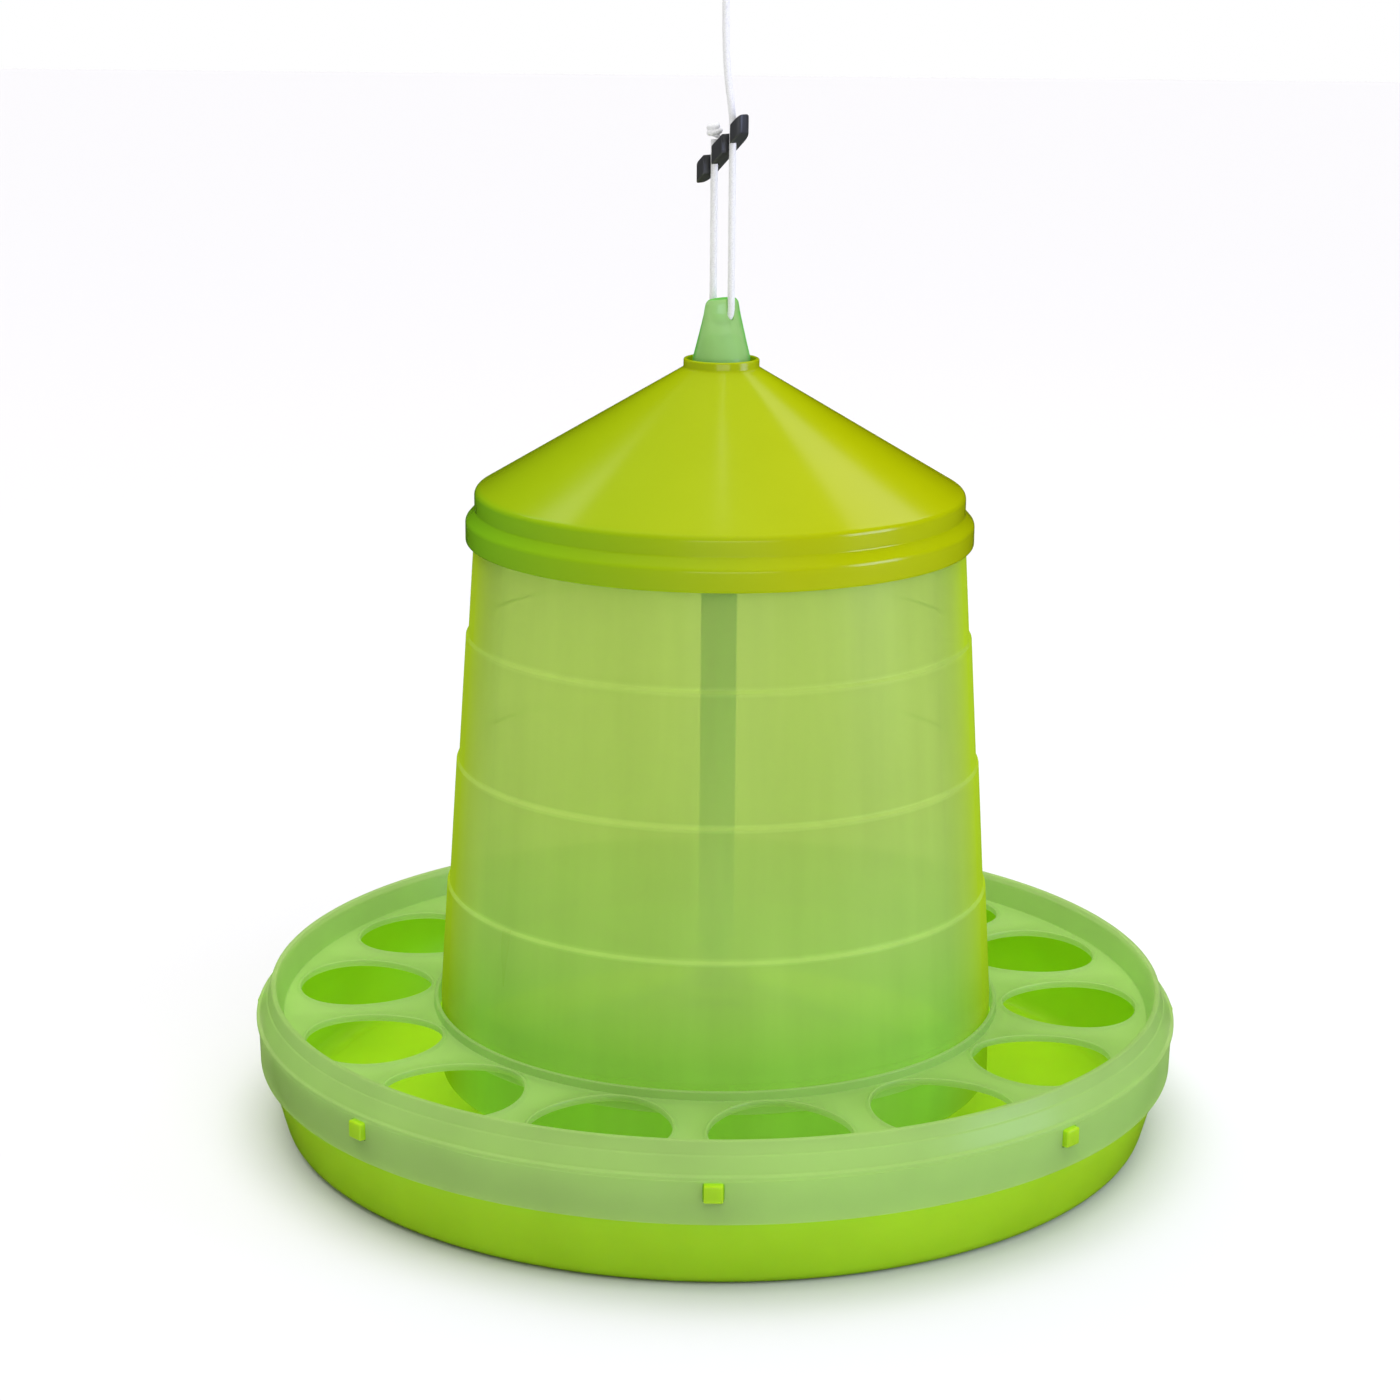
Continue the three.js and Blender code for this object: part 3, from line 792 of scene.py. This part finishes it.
def make_rod():
    reach, half = ROD_WIDTH / 2, ROD_RIB / 2
    quarter = [(reach, -half, 0.5), (reach, half, 0.5), (half, half, 0.9)]
    cross = []
    for k in range(4):
        for x, y, rounding in quarter:
            spun = Matrix.Rotation(math.pi / 2 * k, 2) @ Vector((x, y))
            cross.append((spun.x, spun.y, rounding))
    foot = BOSS_TOP_Z + 0.4
    rod = extruded("rod_and_eye", rounded(cross), foot, ROD_TOP_Z)
    notches = []
    for k in range(NOTCH_COUNT):
        z = NOTCH_Z + NOTCH_HEIGHT / 2 + k * NOTCH_PITCH
        for side in (-1, 1):
            notches.append(((side * (NOTCH_HALF_WAIST + 2.5), 0, z), (5, 6, NOTCH_HEIGHT), 0))
    combine(rod, blocks("notches", notches, rounding=0), "DIFFERENCE")
    spigot_rings = ((5.4, ROD_FOOT_Z), (6, 41.6), (6, 51.3), (5.6, 51.9))
    spigot = lofted("spigot", [ring_of(48, radius, z) for radius, z in spigot_rings])
    combine(rod, spigot, "UNION")
    combine(rod, blocks("cross_bar", [((0, 0, 43.2), (20, 5, 4.4), 0)], rounding=0.6), "UNION")
    cap = cap_shell("cap", [
        (12.4, 319, 0), (12.4, 327, 8), (10.2, 345, 8), (9, EYE_TOP_Z, 4), (1.5, EYE_TOP_Z, 0),
    ])
    hollow = cap_shell("hollow", [(10.5, 318, 0), (10.3, 327, 6), (9.2, 335, 3), (1, 335, 0)])
    combine(cap, hollow, "DIFFERENCE")
    combine(rod, cap, "UNION")
    back_path, front_path = cord_routes()
    whole = list(reversed(back_path)) + front_path[1:]
    near_eye = [p for p in whole[::2] if p.z < 365]
    groove = tube("groove", near_eye, lambda angle, along: CORD_RADIUS + CORD_CLEARANCE, 20)
    combine(rod, groove, "DIFFERENCE")
    soften(rod, 0.35, segments=2, angle=45)
    # The lower rod is painted greener: a painted see-through tint of the hopper around it.
    stops = [(ROD_FOOT_Z, *ROD_LOW), (305, *ROD_LOW), (325, *EYE_TOP), (EYE_TOP_Z, *EYE_TOP)]
    pale = see_through_plastic("pale green plastic", None, linear(*PALE_TINT), ROD_LAMP_TINT, 0.72, 0.35,
                               edge_colour=linear(*ROD_EDGE), stops=stops)
    place_piece(rod, "hanger_rod", "hanger", pale)


def make_clip():
    slot = NOTCH_HALF_WAIST + 0.3
    outline = rounded([
        (slot, 10, 0.8), (slot, -8.4, 1.5), (-slot, -8.4, 1.5), (-slot, 10, 0.8),
        (-11.5, 10, 1.6), (-12.4, -6, 5), (-14, -12, 3), (-14, -19, 4),
        (14, -19, 4), (14, -12, 3), (12.4, -6, 5), (11.5, 10, 1.6),
    ])
    clip = extruded("height_clip", outline, NOTCH_Z + 0.3, NOTCH_Z + NOTCH_HEIGHT - 0.3)
    soften(clip, 0.4)
    place_piece(clip, "flow_clip", "clip", solid_plastic("clip plastic", linear(*LIME), 0.35))


# ---------------------------------------------------------------- lid
def make_lid():
    def rise(radius):
        return LID_APEX_Z - LID_SLOPE * radius

    inside = LID_NECK_RADIUS - LID_WALL
    ledge = HOPPER_TOP_Z + 0.5
    lid = turned("conical_lid", [
        (COLLAR_BORE, COLLAR_TOP_Z, 0.4),
        (COLLAR_RADIUS, COLLAR_TOP_Z, 0.7),
        (COLLAR_RADIUS, rise(COLLAR_RADIUS), 1.2),
        (LID_NECK_RADIUS, rise(LID_NECK_RADIUS), 3),
        (LID_NECK_RADIUS, LID_NECK_Z, 1.2),
        (LID_BEAD_RADIUS, 259.4, 3),
        (LID_BEAD_RADIUS, LID_FOOT_Z, 3.4),
        (102.8, LID_FOOT_Z, 0.6),
        (102.5, ledge, 0.5),
        (inside, ledge, 0.5),
        (inside, rise(inside) - LID_WALL, 1),
        (COLLAR_BORE, rise(COLLAR_BORE) - LID_WALL, 0.4),
    ])
    place_piece(lid, "lid", "cover", lid_plastic())


# ---------------------------------------------------------------- cord adjuster
def make_adjuster():
    half, half_wide, slot = ADJUSTER_HALF_LENGTH, ADJUSTER_HALF_WIDTH, CORD_RADIUS + CORD_CLEARANCE
    corners = [(-half, half_wide, 4.4), (-half, -half_wide, 4.4)]
    for along in (-STRAND_OFFSET, STRAND_OFFSET):
        corners += [(along - slot, -half_wide, 0.5), (along - slot, slot, slot), (along + slot, slot, slot),
                    (along + slot, -half_wide, 0.5)]
    corners += [(half, -half_wide, 4.4), (half, half_wide, 4.4)]
    outline = rounded(corners)
    adjuster = extruded("cord_lock", outline, -ADJUSTER_HALF_THICK, ADJUSTER_HALF_THICK)
    soften(adjuster, 1.9, segments=6, angle=40)
    place = Matrix.Translation((0, 0, ADJUSTER_Z * MM)) @ Matrix.Rotation(STRAND_ANGLE, 4, "Z")
    slope = Matrix.Identity(4)
    slope[2][0] = ADJUSTER_SLOPE
    adjuster.data.transform(place @ slope)
    clean(adjuster)
    black = solid_plastic("black plastic", linear(*BLACK), 0.38, coat=0.1)
    place_piece(adjuster, "cord_adjuster", "adjuster", black)


# ---------------------------------------------------------------- studio
LAMP_AIM_Z = 0.2 # metres


def make_floor():
    mesh = bpy.data.meshes.new("floor")
    half = 9 # metres
    corners = [(-half, -half, 0), (half, -half, 0), (half, half, 0), (-half, half, 0)]
    mesh.from_pydata(corners, [], [(0, 1, 2, 3)])
    floor = bpy.data.objects.new("floor", mesh)
    bpy.context.scene.collection.objects.link(floor)
    nodes = Nodes("white paper")
    shader = nodes.add("BsdfPrincipled", {"Base Color": PAPER, "Roughness": 0.9})
    shader.inputs["Specular IOR Level"].default_value = 0
    nodes.link(shader.outputs["BSDF"], nodes.output.inputs["Surface"])
    mesh.materials.append(nodes.material)
    floor.visible_glossy = False


def towards_lamp(azimuth, elevation):
    """The way from the feeder to a lamp, in degrees. Azimuth 0 is in front of it and 90 to its right."""
    turn, lift = math.radians(azimuth), math.radians(elevation)
    return Vector((math.sin(turn) * math.cos(lift), -math.cos(turn) * math.cos(lift), math.sin(lift)))


def softbox(name, azimuth, elevation, distance, wide, high, power, colour=(1, 1, 1)):
    """A rectangular lamp that faces the feeder's middle. Lengths are in metres."""
    light = bpy.data.lights.new(name, "AREA")
    light.shape = "RECTANGLE"
    light.size, light.size_y = wide, high
    light.energy = power
    light.color = colour
    lamp = bpy.data.objects.new(name, light)
    bpy.context.scene.collection.objects.link(lamp)
    way = towards_lamp(azimuth, elevation)
    lamp.location = Vector((0, 0, LAMP_AIM_Z)) + way * distance
    lamp.rotation_euler = way.to_track_quat("Z", "Y").to_euler()


def soft_sun(name, azimuth, elevation, spread, strength):
    """A distant lamp that lights floor and feeder evenly, spread degrees wide."""
    light = bpy.data.lights.new(name, "SUN")
    light.energy = strength
    light.angle = math.radians(spread)
    lamp = bpy.data.objects.new(name, light)
    bpy.context.scene.collection.objects.link(lamp)
    lamp.rotation_euler = towards_lamp(azimuth, elevation).to_track_quat("Z", "Y").to_euler()
    lamp.visible_glossy = False


def make_world(world):
    """A white studio as seen, a dimmer one as light and none as gloss, which keeps the plastics' colour."""
    world.use_nodes = True
    world.cycles_visibility.glossy = False
    tree = world.node_tree
    surroundings = tree.nodes["Background"]
    surroundings.inputs["Color"].default_value = (1, 1, 1, 1)
    path = tree.nodes.new("ShaderNodeLightPath")
    strength = tree.nodes.new("ShaderNodeMapRange")
    strength.inputs["To Min"].default_value = 0.26
    strength.inputs["To Max"].default_value = 1
    tree.links.new(path.outputs["Is Camera Ray"], strength.inputs["Value"])
    tree.links.new(strength.outputs["Result"], surroundings.inputs["Strength"])


def make_studio():
    scene = bpy.context.scene
    scene.view_settings.view_transform = "Standard"
    scene.cycles.transparent_max_bounces = 32
    world = bpy.data.worlds.new("studio")
    scene.world = world
    make_world(world)
    make_floor()
    soft_sun("key", 20, 52, 60, 1.05)
    soft_sun("top", -150, 75, 64, 2.3)
    softbox("overhead", 178, 76, 1.8, 0.03, 0.3, 0.1)
    softbox("back_right", 130, 46, 1.9, 0.6, 0.8, 1.6)
    softbox("low_front", 5, 3, 2.6, 1.8, 0.2, 4.5)
    softbox("back_left", -130, 46, 1.9, 0.3, 0.5, 0.5)
    softbox("fill_right", 72, 11, 1.8, 0.8, 0.7, 6, colour=(0.85, 0.95, 1.6))


# ---------------------------------------------------------------- the whole scene
make_camera()
make_cord()
make_dish()
make_grill()
make_hopper()
make_rod()
make_clip()
make_lid()
make_adjuster()
make_studio()
